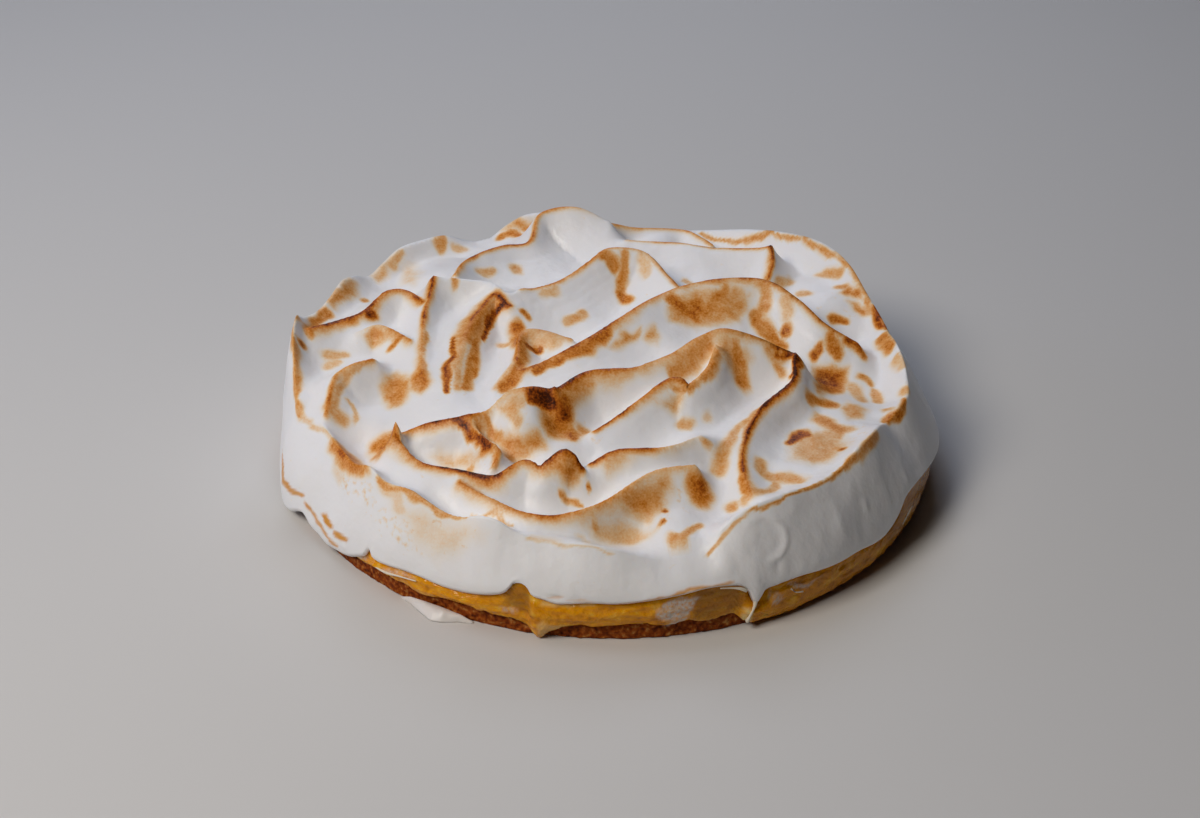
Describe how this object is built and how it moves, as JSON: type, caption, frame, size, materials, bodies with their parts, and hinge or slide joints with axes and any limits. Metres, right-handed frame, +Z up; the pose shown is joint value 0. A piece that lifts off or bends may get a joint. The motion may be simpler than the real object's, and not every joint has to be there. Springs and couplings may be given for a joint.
{
  "type": "passion fruit pie",
  "caption": "Round passion fruit pie: thin biscuit crust, glossy yellow curd layer and a thick swirled meringue top with torched crests.",
  "frame": {"origin": "centre of the crust's flat underside, on the surface the pie stands on", "axes": "+Z up; -Y is the side that faces the viewer, with the curd drip and the lowest part of the meringue's rim; +X to the viewer's right"},
  "size_m": [0.2584, 0.2551, 0.066],
  "materials": {
    "biscuit": "dry crumbly baked biscuit",
    "curd": "glossy set fruit curd",
    "meringue": "satin whipped meringue, torched brown on its crests",
    "smear": "satin whipped meringue"
  },
  "bodies": {
    "root": {"biscuit_crust": "biscuit", "passion_fruit_curd": "curd", "meringue": "meringue", "meringue_smear": "smear"}
  },
  "joints": []
}
